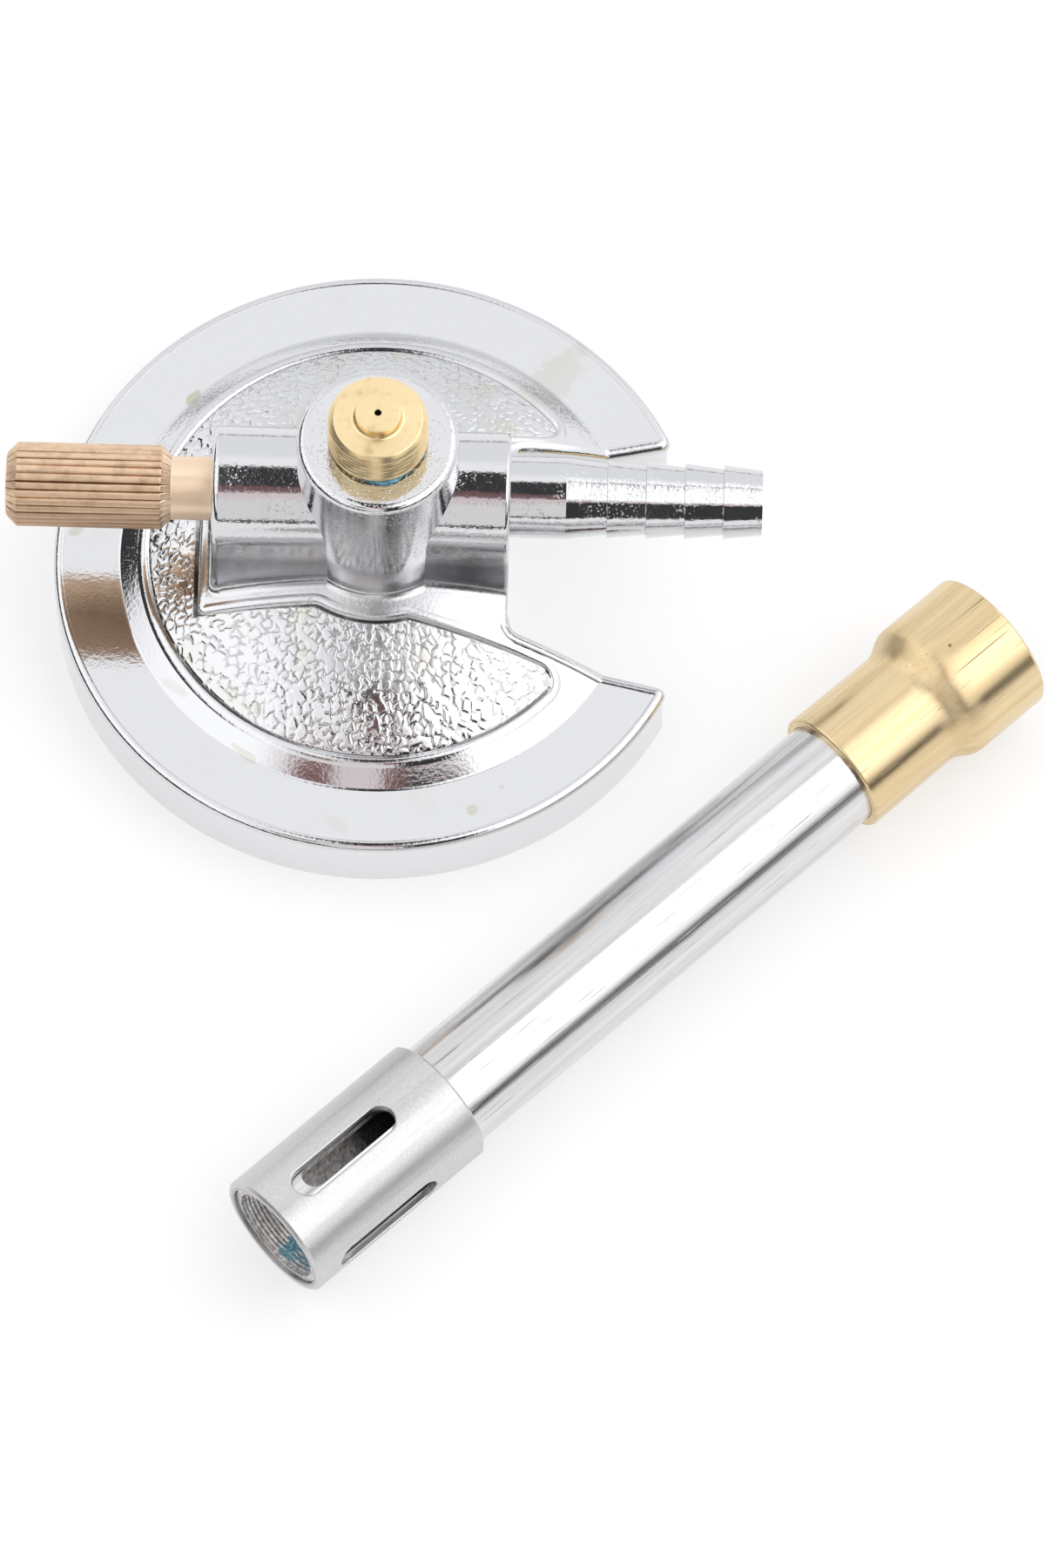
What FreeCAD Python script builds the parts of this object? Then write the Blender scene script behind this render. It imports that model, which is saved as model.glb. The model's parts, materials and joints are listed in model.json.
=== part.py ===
import FreeCAD, Part

import math
import os

# A laboratory gas burner, shown taken apart: the cast base stands with its needle valve, hose barb
# and brass jet, and the unscrewed barrel lies on the bench beside it.
# The origin is the middle of the foot on the bench. +X runs along the valve towards the hose barb,
# +Y away from the viewer and +Z up. All sizes are in millimetres and degrees.

V = FreeCAD.Vector
X_AXIS = V(1, 0, 0)
Z_AXIS = V(0, 0, 1)
ORIGIN = V(0, 0, 0)

# Foot, ring and dome of the casting
foot_radius = 38.0
rim_draft = 0.2
rim_height = 7.9
edge_round = 0.5
ring_width = 7.6
ring_blend = 0.5
dome_rise = 9.8
casting_wall = 3.0

# Wedge notch under the hose barb
notch_half_width = 11.85
notch_flare = 12.6
notch_corner = 2.0
notch_tip_round = 1.0

# Recess in the dome that carries the cast grain
grain_depth = 0.4
grain_ring_border = 2.85
grain_notch_border = 2.0
grain_body_border = 2.5
grain_end_border = 1.4
grain_corner = 2.0

# Valve body and tower of the casting
valve_height = 24.4
body_radius = 7.4
body_draft = 1.2
body_knob_reach = 19.2
body_barb_reach = 15.4
body_end_round = 0.8
tower_radius = 9.4
tower_height = 37.5
tower_round = 1.0
foot_fillet = 1.2

# Hose barb of the casting
barb_root_radius = 4.75
barb_root_length = 6.5
barb_lead_length = 4.8
barb_lead_fall = 0.55
barb_count = 4
barb_pitch = 4.5
barb_crest_radius = 4.55
barb_crest_step = 0.08
barb_fall = 0.5
inlet_radius = 2.3

# Gas ways inside the casting
gland_depth = 8.0
thread_way_length = 6.6
riser_radius = 2.4
riser_to_seat = 1.2
seat_radius = 1.2
seat_length = 3.0

# Needle valve, one turned bar: grip, neck, thread and needle
grip_radius = 4.9
grip_length = 19.2
grip_flutes = 30
flute_depth = 0.4
grip_end_chamfer = 1.3
neck_radius = 3.7
neck_gap = 4.8
spindle_thread_radius = 3.0
spindle_thread_depth = 0.4
needle_stem_radius = 1.9
needle_length = 3.4
needle_tip_radius = 0.35
valve_closing = 1.5
closed_gap = 0.03
neck_stop_gap = 0.3
thread_stop_gap = 0.4
spindle_clearance = 0.05

# O-ring in the spindle's neck
o_ring_groove_depth = 1.2
o_ring_inset = 3.2
o_ring_side_gap = 0.1
o_ring_clearance = 0.04

# Brass jet and its ring of sealant
jet_thread_radius = 5.8
jet_thread_length = 4.5
jet_shank_radius = 4.5
jet_shank_length = 6.0
jet_end_gap = 0.5
jet_foot_chamfer = 0.5
jet_relief_radius = 5.3
jet_relief_height = 0.6
jet_shoulder_radius = 5.15
jet_shoulder_chamfer = 0.7
jet_boss_radius = 2.64
jet_boss_height = 1.3
jet_boss_fillet = 0.6
jet_roof = 1.6
jet_orifice_radius = 0.4
jet_clearance = 0.03
sealant_spread = 0.45
sealant_slope = 0.3

# Barrel: mixing tube, air sleeve and flame head
tube_radius = 6.7
tube_bore_radius = 5.45
tube_setback = 0.35
thread_clearance = 0.1
thread_runout = 0.6
sleeve_wall = 1.02
sleeve_length = 25.65
sleeve_clearance = 0.1
sleeve_edge = 0.3
slot_count = 4
slot_width = 3.5
slot_length = 14.7
slot_foot = 3.56
slot_edge_round = 0.25
port_width = 3.0
port_length = 13.5
port_foot = 5.26
head_start = 87.46
head_lip_spread = 0.12
head_lower_wall = 0.86
head_lower_length = 12.1
head_flare_length = 4.4
head_upper_radius = 9.0
head_upper_wall = 0.95
head_upper_length = 9.25
head_edge_round = 0.35
head_clearance = 0.04
mouth_depth = 3.2
pilot_count = 8
pilot_radius = 0.7

# Where the barrel lies: the middle of its foot on the bench, its heading in plan, and how far
# a slot of the sleeve and a port of the tube are rolled from straight up
barrel_foot_x = -9.36
barrel_foot_y = -87.75
barrel_heading = 43.9
sleeve_roll = -0.3
port_roll = -3.0

# Places worked out from the sizes above
hair = 0.01
dome_edge = foot_radius - ring_width
dome_top = rim_height + dome_rise
dome_sphere = (dome_edge ** 2 + dome_rise ** 2) / (2 * dome_rise)
dome_centre = dome_top - dome_sphere
barb_start = body_barb_reach + barb_root_length + barb_lead_length
barb_end = barb_start + barb_count * barb_pitch
gland_radius = neck_radius + spindle_clearance
gland_end = gland_depth - body_knob_reach
thread_way_end = gland_end + thread_way_length
seat_face = riser_radius + riser_to_seat
seat_end = seat_face + seat_length
grip_inner = -body_knob_reach - neck_gap
grip_outer = grip_inner - grip_length
neck_end = gland_end - valve_closing - neck_stop_gap
spindle_thread_end = thread_way_end - valve_closing - thread_stop_gap
needle_taper = (needle_stem_radius - needle_tip_radius) / needle_length
needle_tip = seat_face + (seat_radius - needle_tip_radius) / needle_taper - closed_gap - valve_closing
groove_radius = neck_radius - o_ring_groove_depth
o_ring_thickness = gland_radius - groove_radius - 2 * o_ring_clearance
o_ring_place = o_ring_inset - body_knob_reach
jet_foot = tower_height - jet_shank_length
jet_shoulder = tower_height + jet_thread_length + jet_shoulder_chamfer
jet_top = jet_shoulder + jet_boss_height
sleeve_bore = tube_radius + sleeve_clearance
sleeve_radius = sleeve_bore + sleeve_wall
head_bore = tube_radius + head_clearance
head_waist_radius = head_bore + head_lower_wall
head_flare_start = head_start + head_lower_length
head_flare_end = head_flare_start + head_flare_length
head_top = head_flare_end + head_upper_length
tube_top = head_top - mouth_depth
barrel_tilt = math.degrees(math.atan((head_upper_radius - sleeve_radius) / head_flare_end))


def revolved(points, axis):
    """A solid of revolution from the corners of a closed outline in a plane through the axis."""
    wire = Part.makePolygon(points + [points[0]])
    return Part.Face(wire).revolve(ORIGIN, axis, 360)


def turned_on_x(stations):
    """A turned piece from (x, radius) stations along the X axis, closed along that axis."""
    outline = [V(stations[0][0], 0, 0)]
    outline += [V(x, radius, 0) for x, radius in stations]
    outline.append(V(stations[-1][0], 0, 0))
    return revolved(outline, X_AXIS)


def turned_on_z(stations):
    """A turned piece from (radius, z) stations up the Z axis, closed along that axis."""
    outline = [V(0, 0, stations[0][1])]
    outline += [V(0, radius, z) for radius, z in stations]
    outline.append(V(0, 0, stations[-1][1]))
    return revolved(outline, Z_AXIS)


def ring_on_z(stations):
    """A turned ring from a closed outline of (radius, z) stations that stay off the Z axis."""
    return revolved([V(0, radius, z) for radius, z in stations], Z_AXIS)


def rod(radius, low, high):
    """An upright cylinder between two heights."""
    return Part.makeCylinder(radius, high - low, V(0, 0, low), Z_AXIS)


def at_valve(shape):
    """The shape moved from the X axis up to the valve's axis."""
    return shape.translated(V(0, 0, valve_height))


def upright(edge):
    """Whether an edge is a straight upright one."""
    if edge.Degenerated or edge.Curve.TypeId != "Part::GeomLine":
        return False
    return abs(edge.tangentAt(edge.FirstParameter).z) > 1 - hair


def circle_at(edge, radius, height):
    """Whether an edge is a level circle of this radius at this height."""
    if edge.Degenerated or edge.Curve.TypeId != "Part::GeomCircle":
        return False
    return abs(edge.Curve.Radius - radius) < hair and abs(edge.Curve.Center.z - height) < hair


def middle_of(edge):
    """The point half way along an edge."""
    return edge.valueAt((edge.FirstParameter + edge.LastParameter) / 2)


def dome_solid(inset):
    """The round foot under its ring and dome, with every wall moved in by inset."""
    low = -inset
    ring = rim_height - inset
    sphere = dome_sphere - inset
    edge = math.sqrt(sphere ** 2 - (ring - dome_centre) ** 2)
    half_angle = math.asin(edge / sphere) / 2
    top = V(0, 0, dome_centre + sphere)
    flank = V(0, sphere * math.sin(half_angle), dome_centre + sphere * math.cos(half_angle))
    foot_out = V(0, foot_radius - inset, low)
    ring_out = V(0, foot_radius - rim_draft - inset, ring)
    ring_in = V(0, edge, ring)
    outline = [
        Part.LineSegment(V(0, 0, low), foot_out).toShape(),
        Part.LineSegment(foot_out, ring_out).toShape(),
        Part.LineSegment(ring_out, ring_in).toShape(),
        Part.Arc(ring_in, flank, top).toShape(),
        Part.LineSegment(top, V(0, 0, low)).toShape(),
    ]
    body = Part.Face(Part.Wire(outline)).revolve(ORIGIN, Z_AXIS, 360)
    return body.makeFillet(ring_blend, [e for e in body.Edges if circle_at(e, edge, ring)])


def wedge(start, border):
    """An upright prism on the lines of the notch's two sides, moved out by border, from start outwards."""
    flare = math.radians(notch_flare)
    end = 2 * foot_radius
    grown = notch_half_width + border / math.cos(flare)
    near = grown + (start - body_barb_reach) * math.tan(flare)
    far = grown + (end - body_barb_reach) * math.tan(flare)
    corners = [V(start, -near, 0), V(end, -far, 0), V(end, far, 0), V(start, near, 0)]
    face = Part.Face(Part.makePolygon(corners + [corners[0]]))
    return face.translated(V(0, 0, -rim_height)).extrude(V(0, 0, 2 * tower_height))


def notch(border):
    """The wedge notch with its rounded inner corners, grown by border all round."""
    start = body_barb_reach - border
    prism = wedge(start, border)
    inner = [e for e in prism.Edges if upright(e) and e.BoundBox.XMax < start + hair]
    return prism.makeFillet(notch_corner + border, inner)


def valve_body(reach):
    """The valve body: a round crown on the valve's axis, with tangent sides that widen downwards."""
    draft = math.radians(body_draft)
    low = rim_height
    high_y = body_radius * math.cos(draft)
    high_z = valve_height + body_radius * math.sin(draft)
    low_y = high_y + (high_z - low) * math.tan(draft)
    crown = V(0, 0, valve_height + body_radius)
    outline = [
        Part.LineSegment(V(0, -low_y, low), V(0, -high_y, high_z)).toShape(),
        Part.Arc(V(0, -high_y, high_z), crown, V(0, high_y, high_z)).toShape(),
        Part.LineSegment(V(0, high_y, high_z), V(0, low_y, low)).toShape(),
        Part.LineSegment(V(0, low_y, low), V(0, -low_y, low)).toShape(),
    ]
    face = Part.Face(Part.Wire(outline)).translated(V(-body_knob_reach, 0, 0))
    block = face.extrude(V(body_knob_reach + reach, 0, 0))
    knob_end = [e for e in block.Edges if e.BoundBox.XMax < hair - body_knob_reach]
    return block.makeFillet(body_end_round, [e for e in knob_end if e.BoundBox.ZMax > low + hair])


def tower():
    """The round tower that carries the jet, with its rounded top edge."""
    column = rod(tower_radius, rim_height, tower_height)
    top_edge = [e for e in column.Edges if circle_at(e, tower_radius, tower_height)]
    return column.makeFillet(tower_round, top_edge)


def on_dome(point):
    """Whether a point lies on the dome's sphere."""
    return abs(point.distanceToPoint(V(0, 0, dome_centre)) - dome_sphere) < hair


def breaks_rim(edge):
    """Whether an edge is one of the two where the notch breaks through the rim."""
    box = edge.BoundBox
    full_height = box.ZMin < hair and box.ZMax > rim_height - hair
    out = math.hypot(box.XMax, max(abs(box.YMin), abs(box.YMax)))
    return box.XMin > 0 and full_height and out > foot_radius - 2 * rim_draft


def on_top_outline(edge):
    """Whether an edge belongs to the upper outline: the rim, its two tips and the notch's lip."""
    if edge.Degenerated or edge.BoundBox.ZMin < rim_height - hair:
        return False
    point = middle_of(edge)
    on_rim = math.hypot(point.x, point.y) > foot_radius - rim_draft - notch_tip_round
    side = notch_half_width + (point.x - body_barb_reach) * math.tan(math.radians(notch_flare))
    on_notch = point.x > body_barb_reach - hair and abs(point.y) < side + hair
    return on_rim or on_notch


def hose_barb():
    """The inlet: a plain root, a tapering lead and a row of saw-tooth barbs that hold the hose."""
    stations = [
        (0, barb_root_radius),
        (body_barb_reach + barb_root_length, barb_root_radius),
        (barb_start, barb_root_radius - barb_lead_fall),
    ]
    for i in range(barb_count):
        crest = barb_crest_radius - i * barb_crest_step
        stations.append((barb_start + i * barb_pitch, crest))
        stations.append((barb_start + (i + 1) * barb_pitch, crest - barb_fall))
    return at_valve(turned_on_x(stations))


def grain_recess():
    """The shallow C-shaped pocket in the dome, clear of the ring, the notch and the valve body."""
    plan = rod(dome_edge - grain_ring_border, rim_height, tower_height)
    width = 2 * (body_radius + grain_body_border)
    length = body_knob_reach + grain_end_border
    plan = plan.cut(Part.makeBox(length, width, tower_height, V(-length, -width / 2, 0)))
    plan = plan.cut(rod(tower_radius + grain_body_border, 0, tower_height))
    plan = plan.cut(wedge(0, grain_notch_border))
    corners = [e for e in plan.Edges if upright(e) and e.BoundBox.XMax > dome_edge / 2]
    plan = plan.makeFillet(grain_corner, corners)
    return plan.cut(Part.makeSphere(dome_sphere - grain_depth, V(0, 0, dome_centre)))


def gas_ways():
    """Gland, tapped way, needle chamber, seat and inlet in a row, with the riser and the jet's socket."""
    along = [
        (-2 * body_knob_reach, gland_radius),
        (gland_end, gland_radius),
        (gland_end, spindle_thread_radius + spindle_clearance),
        (thread_way_end, spindle_thread_radius + spindle_clearance),
        (thread_way_end, spindle_thread_radius - spindle_thread_depth),
        (seat_face, spindle_thread_radius - spindle_thread_depth),
        (seat_face, seat_radius),
        (seat_end, seat_radius),
        (seat_end, inlet_radius),
        (2 * barb_end, inlet_radius),
    ]
    riser = rod(riser_radius, valve_height, tower_height)
    socket = rod(jet_shank_radius + jet_clearance, jet_foot - jet_end_gap, 2 * tower_height)
    return at_valve(turned_on_x(along)).fuse([riser, socket])


def base_casting():
    """The one-piece casting, blended, notched, cored out below and bored for the gas."""
    superstructure = valve_body(body_barb_reach + barb_root_length).fuse(tower())
    casting = dome_solid(0).fuse(superstructure)
    seams = [e for e in casting.Edges if not e.Degenerated and on_dome(middle_of(e))]
    seams = [e for e in seams if superstructure.isInside(middle_of(e), hair, True)]
    casting = casting.makeFillet(foot_fillet, seams)
    casting = casting.cut(notch(0))
    casting = casting.makeFillet(notch_tip_round, [e for e in casting.Edges if breaks_rim(e)])
    casting = casting.makeFillet(edge_round, [e for e in casting.Edges if on_top_outline(e)])
    casting = casting.cut(grain_recess())
    casting = casting.fuse(hose_barb())
    underside = dome_solid(casting_wall).cut(notch(casting_wall))
    return casting.cut([underside, gas_ways()])


def valve_spindle():
    """The needle valve: a fluted grip, a neck with the seal's groove, the thread, the stem and the needle."""
    flutes = []
    for i in range(2 * grip_flutes):
        radius = grip_radius - flute_depth * (i % 2)
        angle = math.pi * i / grip_flutes
        flutes.append(V(grip_outer, radius * math.cos(angle), radius * math.sin(angle)))
    fluted = Part.Face(Part.makePolygon(flutes + [flutes[0]])).extrude(V(grip_length, 0, 0))
    neck_chamfer = grip_radius - neck_radius
    grip = turned_on_x([
        (grip_outer, grip_radius - grip_end_chamfer),
        (grip_outer + grip_end_chamfer, grip_radius),
        (grip_inner - neck_chamfer, grip_radius),
        (grip_inner, neck_radius),
    ])
    groove_half = o_ring_thickness / 2 + o_ring_side_gap
    stem = turned_on_x([
        (grip_inner - grip_length / 2, neck_radius),
        (o_ring_place - groove_half, neck_radius),
        (o_ring_place - groove_half, groove_radius),
        (o_ring_place + groove_half, groove_radius),
        (o_ring_place + groove_half, neck_radius),
        (neck_end, neck_radius),
        (neck_end, spindle_thread_radius),
        (spindle_thread_end, spindle_thread_radius),
        (spindle_thread_end, needle_stem_radius),
        (needle_tip - needle_length, needle_stem_radius),
        (needle_tip, needle_tip_radius),
    ])
    return at_valve(fluted.common(grip).fuse(stem))


def spindle_o_ring():
    """The rubber seal between the spindle's groove and the gland."""
    middle = groove_radius + o_ring_clearance + o_ring_thickness / 2
    return Part.makeTorus(middle, o_ring_thickness / 2, V(o_ring_place, 0, valve_height), X_AXIS)


def jet_nipple():
    """The brass jet: a shank in the tower, a relief, the barrel's thread and the boss with the orifice."""
    outside = turned_on_z([
        (jet_shank_radius - jet_foot_chamfer, jet_foot),
        (jet_shank_radius, jet_foot + jet_foot_chamfer),
        (jet_shank_radius, tower_height),
        (jet_relief_radius, tower_height),
        (jet_relief_radius, tower_height + jet_relief_height),
        (jet_thread_radius, tower_height + jet_relief_height),
        (jet_thread_radius, tower_height + jet_thread_length),
        (jet_shoulder_radius, jet_shoulder),
        (jet_boss_radius, jet_shoulder),
        (jet_boss_radius, jet_top),
    ])
    outside = outside.makeFillet(
        jet_boss_fillet, [e for e in outside.Edges if circle_at(e, jet_boss_radius, jet_shoulder)]
    )
    bore = rod(riser_radius, jet_foot, jet_top - jet_roof)
    return outside.cut([bore, rod(jet_orifice_radius, jet_foot, jet_top)])


def jet_sealant():
    """The ring of cured thread sealant squeezed out of the jet's relief onto the tower."""
    inner = jet_relief_radius + jet_clearance
    outer = jet_thread_radius + sealant_spread
    top = tower_height + jet_relief_height - jet_clearance
    return ring_on_z([
        (inner, tower_height),
        (outer, tower_height),
        (outer - sealant_slope, top),
        (inner, top),
    ])


def round_slots(width, length, foot, reach):
    """Round-ended cutters that reach out from the barrel's axis, the first towards -X, evenly spread."""
    straight = length - width
    low = foot + width / 2
    cutter = Part.makeBox(reach, width, straight, V(-reach, -width / 2, low))
    for end in (low, low + straight):
        cutter = cutter.fuse(Part.makeCylinder(width / 2, reach, V(0, 0, end), V(-1, 0, 0)))
    turns = [360 * i / slot_count for i in range(slot_count)]
    return [cutter.rotated(ORIGIN, Z_AXIS, turn) for turn in turns]


def barrel_tube():
    """The mixing tube: tapped foot, four air ports and a ring of pilot ports inside the head's cup."""
    tube = rod(tube_radius, tube_setback, tube_top)
    thread_top = jet_thread_length + thread_runout
    pilot_height = head_flare_end
    cuts = [
        rod(tube_bore_radius, 0, head_top),
        rod(jet_thread_radius + thread_clearance, 0, thread_top),
    ]
    cuts += round_slots(port_width, port_length, port_foot, sleeve_radius)
    for i in range(pilot_count):
        hole = Part.makeCylinder(pilot_radius, sleeve_radius, V(0, 0, pilot_height), X_AXIS)
        cuts.append(hole.rotated(ORIGIN, Z_AXIS, 360 * i / pilot_count))
    return tube.cut(cuts)


def on_slot_mouth(edge):
    """Whether an edge runs round the mouth of one of the sleeve's slots."""
    point = middle_of(edge)
    outside = abs(math.hypot(point.x, point.y) - sleeve_radius) < hair
    return outside and slot_foot - hair < point.z < slot_foot + slot_length + hair


def air_sleeve():
    """The air collar: a short tube with chamfered ends and four long slots."""
    collar = ring_on_z([
        (sleeve_bore, 0),
        (sleeve_radius - sleeve_edge, 0),
        (sleeve_radius, sleeve_edge),
        (sleeve_radius, sleeve_length - sleeve_edge),
        (sleeve_radius - sleeve_edge, sleeve_length),
        (sleeve_bore, sleeve_length),
    ])
    collar = collar.cut(round_slots(slot_width, slot_length, slot_foot, 2 * sleeve_radius))
    return collar.makeFillet(slot_edge_round, [e for e in collar.Edges if on_slot_mouth(e)])


def flare(low_radius, high_radius):
    """The head's flare as one S-shaped curve from its lower to its upper radius."""
    half_way = (head_flare_start + head_flare_end) / 2
    curve = Part.BezierCurve()
    curve.setPoles([
        V(0, low_radius, head_flare_start),
        V(0, low_radius, half_way),
        V(0, high_radius, half_way),
        V(0, high_radius, head_flare_end),
    ])
    return curve.toShape()


def burner_head():
    """The flame head: a spun brass sleeve that flares out to a cup with rounded edges."""
    lip_radius = head_waist_radius + head_lip_spread
    cup = head_upper_radius - head_upper_wall
    lower = Part.makePolygon([
        V(0, head_bore, head_flare_start),
        V(0, head_bore, head_start),
        V(0, lip_radius, head_start),
        V(0, head_waist_radius, head_flare_start),
    ])
    upper = Part.makePolygon([
        V(0, head_upper_radius, head_flare_end),
        V(0, head_upper_radius, head_top),
        V(0, cup, head_top),
        V(0, cup, head_flare_end),
    ])
    outside = flare(head_waist_radius, head_upper_radius)
    inside = flare(head_bore, cup)
    outline = Part.Wire(lower.Edges + [outside] + upper.Edges + [inside])
    head = Part.Face(outline).revolve(ORIGIN, Z_AXIS, 360)
    rims = [(lip_radius, head_start), (head_upper_radius, head_top), (cup, head_top)]
    edges = [e for e in head.Edges if any(circle_at(e, radius, height) for radius, height in rims)]
    return head.makeFillet(head_edge_round, edges)


def laid_down(shape, roll):
    """A barrel piece rolled on its axis and laid on the bench, on the sleeve's foot and the head's cup."""
    lying = shape.rotated(ORIGIN, Z_AXIS, roll)
    lying = lying.rotated(ORIGIN, V(0, 1, 0), 90 - barrel_tilt)
    lying = lying.rotated(ORIGIN, Z_AXIS, barrel_heading)
    height = sleeve_radius * math.cos(math.radians(barrel_tilt))
    return lying.translated(V(barrel_foot_x, barrel_foot_y, height))


pieces = {
    "base_casting": base_casting(),
    "jet_nipple": jet_nipple(),
    "jet_sealant": jet_sealant(),
    "valve_spindle": valve_spindle(),
    "spindle_o_ring": spindle_o_ring(),
    "barrel_tube": laid_down(barrel_tube(), port_roll),
    "air_sleeve": laid_down(air_sleeve(), sleeve_roll),
    "burner_head": laid_down(burner_head(), 0),
}
os.makedirs("parts", exist_ok=True)
for name, shape in pieces.items():
    shape.exportStep(f"parts/{name}.step")
    print(name, len(shape.Solids), round(shape.Volume, 1), shape.isValid())
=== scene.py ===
import json
import math

import bmesh
import bpy
import numpy as np
from mathutils import Matrix, Vector


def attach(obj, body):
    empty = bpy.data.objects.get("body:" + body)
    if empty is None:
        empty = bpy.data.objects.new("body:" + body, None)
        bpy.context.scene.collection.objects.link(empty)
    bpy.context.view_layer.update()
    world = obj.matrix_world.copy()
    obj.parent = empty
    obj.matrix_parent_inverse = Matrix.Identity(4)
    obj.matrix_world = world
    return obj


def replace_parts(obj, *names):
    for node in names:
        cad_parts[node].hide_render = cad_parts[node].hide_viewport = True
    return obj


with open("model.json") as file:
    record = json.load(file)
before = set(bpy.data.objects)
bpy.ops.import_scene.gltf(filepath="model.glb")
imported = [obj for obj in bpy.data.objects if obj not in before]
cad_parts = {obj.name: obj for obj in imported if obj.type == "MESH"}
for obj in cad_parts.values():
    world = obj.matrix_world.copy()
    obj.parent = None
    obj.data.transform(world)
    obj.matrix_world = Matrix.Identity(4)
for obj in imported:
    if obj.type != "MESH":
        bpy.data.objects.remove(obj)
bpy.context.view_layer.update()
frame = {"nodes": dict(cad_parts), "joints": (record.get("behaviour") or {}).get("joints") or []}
solids = frame["nodes"]
joints = {joint["name"]: joint for joint in frame["joints"]}


# The base is one zinc die casting under bright chrome plate: foot ring, dome, valve body, tower and hose
# barb. The plate is a mirror with a faint orange peel, fine pits and a few dull water marks. Painted light
# brightens its colour on the foot's wall, and painted shade greys it low on the tower and the valve body.

def node(tree, kind, inputs, **settings):
    """One shader node. Each of its inputs takes a plain value or the output that feeds it, and settings are
    the node's own choices."""
    made = tree.nodes.new(kind)
    for key, value in settings.items():
        setattr(made, key, value)
    for key, value in inputs.items():
        if isinstance(value, bpy.types.NodeSocket):
            tree.links.new(value, made.inputs[key])
        else:
            made.inputs[key].default_value = value
    return made


def noise(tree, place, scale, detail=3.0, roughness=0.55):
    """Cloudy noise of about one cloud per 1/scale metres."""
    clouds = {"Vector": place, "Scale": scale, "Detail": detail, "Roughness": roughness}
    return node(tree, "ShaderNodeTexNoise", clouds).outputs["Fac"]


def spread(tree, value, low, high, to_low=0.0, to_high=1.0):
    """The value carried smoothly from the span low..high to the span to_low..to_high and held at its ends."""
    span = {"Value": value, "From Min": low, "From Max": high, "To Min": to_low, "To Max": to_high}
    return node(tree, "ShaderNodeMapRange", span, interpolation_type="SMOOTHSTEP").outputs["Result"]


def sums(tree, operation, a, b):
    """One arithmetic step between two values."""
    return node(tree, "ShaderNodeMath", {0: a, 1: b}, operation=operation).outputs[0]


def band(tree, value, start, full, fade, end):
    """1 where the value lies between full and fade, falling smoothly to 0 towards start and towards end."""
    return sums(tree, "MULTIPLY", spread(tree, value, start, full), spread(tree, value, end, fade))


def blended(tree, share, first, second):
    """The first colour where share is 0, the second where it is 1."""
    made = node(tree, "ShaderNodeMix", {"Factor": share}, data_type="RGBA")
    for socket, value in ((made.inputs[6], first), (made.inputs[7], second)):
        if isinstance(value, bpy.types.NodeSocket):
            tree.links.new(value, socket)
        else:
            socket.default_value = value
    return made.outputs[2]


def bumped(tree, height, depth, strength=1.0, under=None):
    """The surface's normal over a fine relief: height is its pattern, depth its full height in metres, and
    under the relief that it lies on."""
    relief = {"Strength": strength, "Distance": depth, "Height": height}
    if under is not None:
        relief["Normal"] = under
    return node(tree, "ShaderNodeBump", relief).outputs[0]


def metal(name, colour, roughness):
    """A bare metal finish: returns the material, its node tree and its shader, with plain values set."""
    made = bpy.data.materials.new(name)
    made.use_nodes = True
    shader = made.node_tree.nodes["Principled BSDF"]
    shader.inputs["Base Color"].default_value = colour
    shader.inputs["Metallic"].default_value = 1.0
    shader.inputs["Roughness"].default_value = roughness
    return made, made.node_tree, shader


plate_colour = (0.70, 0.705, 0.72, 1)


def chrome_plate(name):
    """Bright chrome: a fine peel all over and drifts of rough specks in the bump. The polish is uneven, and
    dull on the steep sides of the valve body and the tower, which no wheel reached."""
    plate, tree, shader = metal(name, plate_colour, 0.06)
    place = node(tree, "ShaderNodeTexCoord", {}).outputs["Object"]
    axes = node(tree, "ShaderNodeSeparateXYZ", {"Vector": place}).outputs
    drift = spread(tree, noise(tree, place, 190.0, 4.0, 0.6), 0.48, 0.74)
    drift = sums(tree, "MULTIPLY", drift, spread(tree, axes["Z"], 0.0082, 0.0120, 0.12, 1.0))
    drift = sums(tree, "MAXIMUM", drift, spread(tree, axes["Z"], 0.0352, 0.0362, 0.0, 0.8))
    speck = spread(tree, noise(tree, place, 3400.0, 1.0), 0.60, 0.74)
    speck = sums(tree, "MULTIPLY", speck, drift)
    peel = bumped(tree, noise(tree, place, 2100.0), 1.8e-5)
    speckled = bumped(tree, speck, 4.0e-5, under=peel)
    steep = band(tree, axes["Z"], 0.0125, 0.0140, 0.0215, 0.0232)
    steep = sums(tree, "MULTIPLY", steep, spread(tree, axes["X"], 0.0158, 0.0152))
    drawn = node(tree, "ShaderNodeMapping", {"Vector": place, "Scale": (2600.0, 2600.0, 240.0)}).outputs[0]
    streak = node(tree, "ShaderNodeTexNoise", {"Vector": drawn, "Scale": 1.0, "Detail": 3.0}).outputs["Fac"]
    streak = sums(tree, "MULTIPLY", streak, steep)
    tree.links.new(bumped(tree, streak, 1.0e-5, under=speckled), shader.inputs["Normal"])
    polish = spread(tree, noise(tree, place, 240.0), 0.35, 0.75, 0.04, 0.11)
    tree.links.new(sums(tree, "ADD", polish, sums(tree, "MULTIPLY", steep, 0.16)), shader.inputs["Roughness"])
    return plate, tree, shader


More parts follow.
